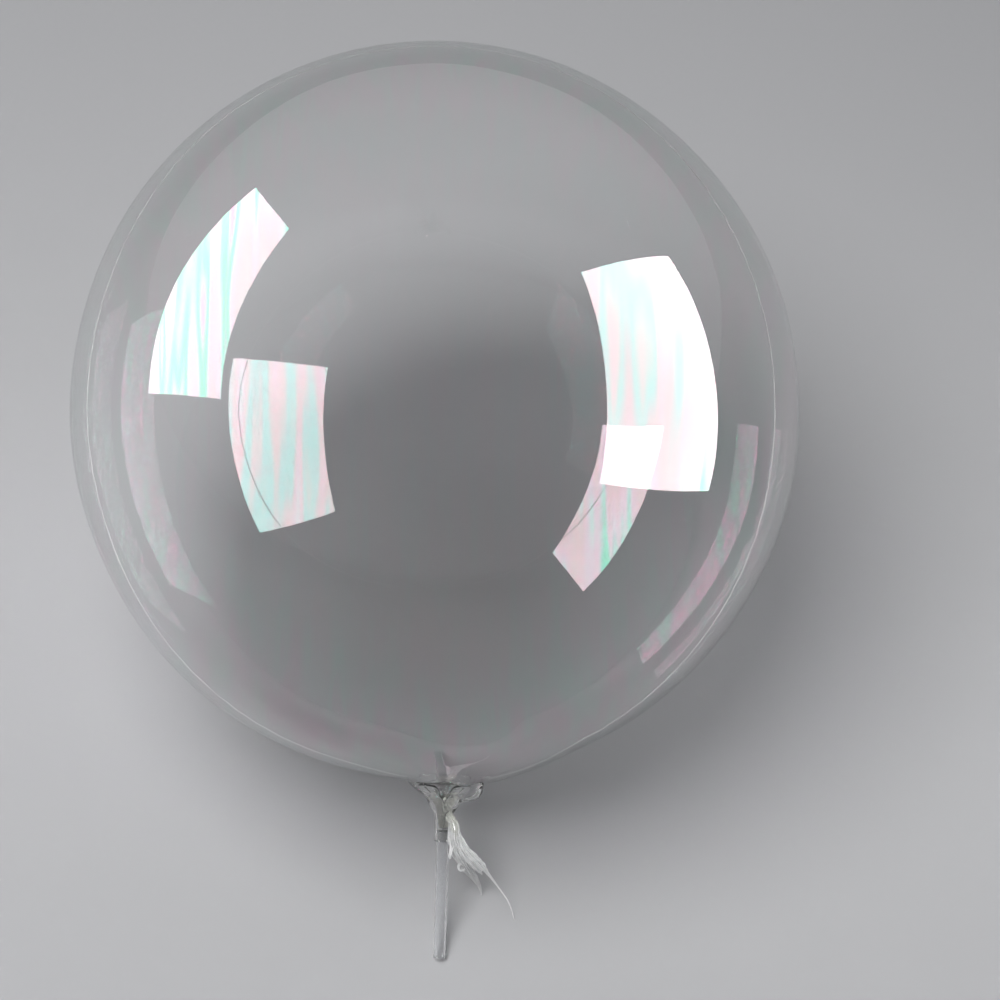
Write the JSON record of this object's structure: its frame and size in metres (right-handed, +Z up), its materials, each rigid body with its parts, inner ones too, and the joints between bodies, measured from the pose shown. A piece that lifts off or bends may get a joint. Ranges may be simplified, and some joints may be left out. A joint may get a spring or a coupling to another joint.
{
  "type": "clear bubble balloon on a cup and stick",
  "caption": "Inflated clear film bubble balloon, lying with its gathered neck held in a petalled cup on a short hollow stick and a crinkled film tail hanging out.",
  "frame": {"origin": "on the surface that the balloon lies on, below the middle of the whole object's box", "axes": "+Z up; the stick points to -Y and down from the balloon, and the tail is on the +X side"},
  "size_m": [0.4498, 0.4916, 0.4498],
  "materials": {
    "clear_film": "clear, glossy thin plastic film with a faint rainbow sheen, milky where it is crinkled",
    "clear_moulding": "clear glossy moulded plastic with rounded bright edges",
    "clear_tube": "clear extruded plastic tube, slightly milky along its walls"
  },
  "bodies": {
    "root": {"balloon": "clear_film", "cup": "clear_moulding", "stick": "clear_tube"}
  },
  "joints": []
}
